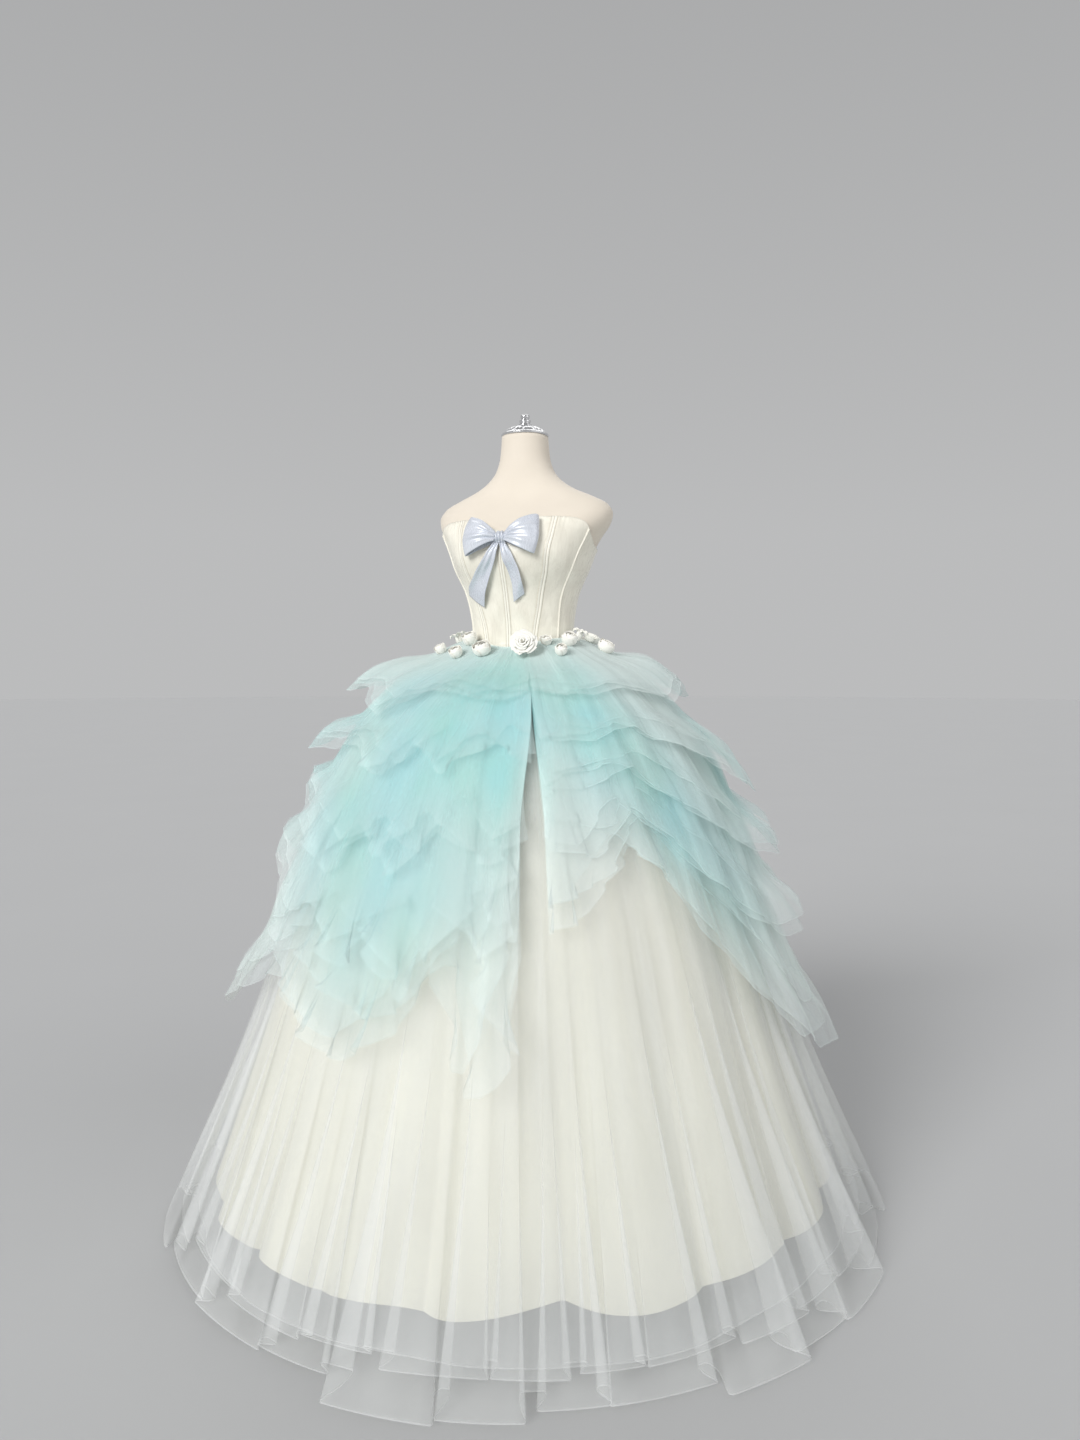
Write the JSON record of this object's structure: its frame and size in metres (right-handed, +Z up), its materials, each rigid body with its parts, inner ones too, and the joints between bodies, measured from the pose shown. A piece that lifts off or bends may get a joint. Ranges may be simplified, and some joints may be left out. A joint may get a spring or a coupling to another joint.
{
  "type": "ball gown on a dress form",
  "caption": "Strapless boned ball gown with a satin bow, fabric roses at the waist, a tiered tulle overlay and a full layered skirt, worn by a limbless dress form on a stand.",
  "frame": {"origin": "centre of the base plate's underside, on the floor", "axes": "+Z up; the form faces -Y; +X is the wearer's left"},
  "size_m": [1.4805, 1.5324, 1.6246],
  "materials": {
    "form_cover": "fine matt jersey over a hard shell",
    "chrome": "polished",
    "painted_steel": "satin paint",
    "ivory_satin": "soft satin sheen",
    "white_tulle": "sheer net",
    "aqua_tulle": "sheer dyed net",
    "ribbon_satin": "glossy satin ribbon",
    "rose_fabric": "matt organza and satin"
  },
  "bodies": {
    "root": {"form_torso": "form_cover", "neck_cap": "chrome", "finial": "chrome", "stand_base": "painted_steel", "stand_pole": "painted_steel", "bodice_front_left": "ivory_satin", "bodice_front_right": "ivory_satin", "bodice_side_front_left": "ivory_satin", "bodice_side_front_right": "ivory_satin", "bodice_side_left": "ivory_satin", "bodice_side_right": "ivory_satin", "bodice_back_left": "ivory_satin", "bodice_back_right": "ivory_satin", "satin_skirt_front": "ivory_satin", "satin_skirt_side_front_left": "ivory_satin", "satin_skirt_side_back_left": "ivory_satin", "satin_skirt_back": "ivory_satin", "satin_skirt_side_back_right": "ivory_satin", "satin_skirt_side_front_right": "ivory_satin", "middle_tulle_left": "white_tulle", "middle_tulle_right": "white_tulle", "outer_tulle_front": "white_tulle", "outer_tulle_left": "white_tulle", "outer_tulle_back": "white_tulle", "outer_tulle_right": "white_tulle", "overlay_first_left": "aqua_tulle", "overlay_first_right": "aqua_tulle", "overlay_second_left": "aqua_tulle", "overlay_second_right": "aqua_tulle", "overlay_third_left": "aqua_tulle", "overlay_third_right": "aqua_tulle", "overlay_fourth_left": "aqua_tulle", "overlay_fourth_right": "aqua_tulle", "overlay_fifth_left": "aqua_tulle", "overlay_fifth_right": "aqua_tulle", "bow_loop_left": "ribbon_satin", "bow_loop_right": "ribbon_satin", "bow_knot": "ribbon_satin", "bow_tail_left": "ribbon_satin", "bow_tail_right": "ribbon_satin", "waist_flower_01": "rose_fabric", "waist_flower_02": "rose_fabric", "waist_flower_03": "rose_fabric", "waist_flower_04": "rose_fabric", "waist_flower_05": "rose_fabric", "waist_flower_06": "rose_fabric", "waist_flower_07": "rose_fabric", "waist_flower_08": "rose_fabric", "waist_flower_09": "rose_fabric", "waist_flower_10": "rose_fabric", "waist_flower_11": "rose_fabric", "waist_flower_12": "rose_fabric", "waist_flower_13": "rose_fabric", "waist_flower_14": "rose_fabric", "waist_flower_15": "rose_fabric", "waist_flower_16": "rose_fabric", "waist_flower_17": "rose_fabric"}
  },
  "joints": []
}
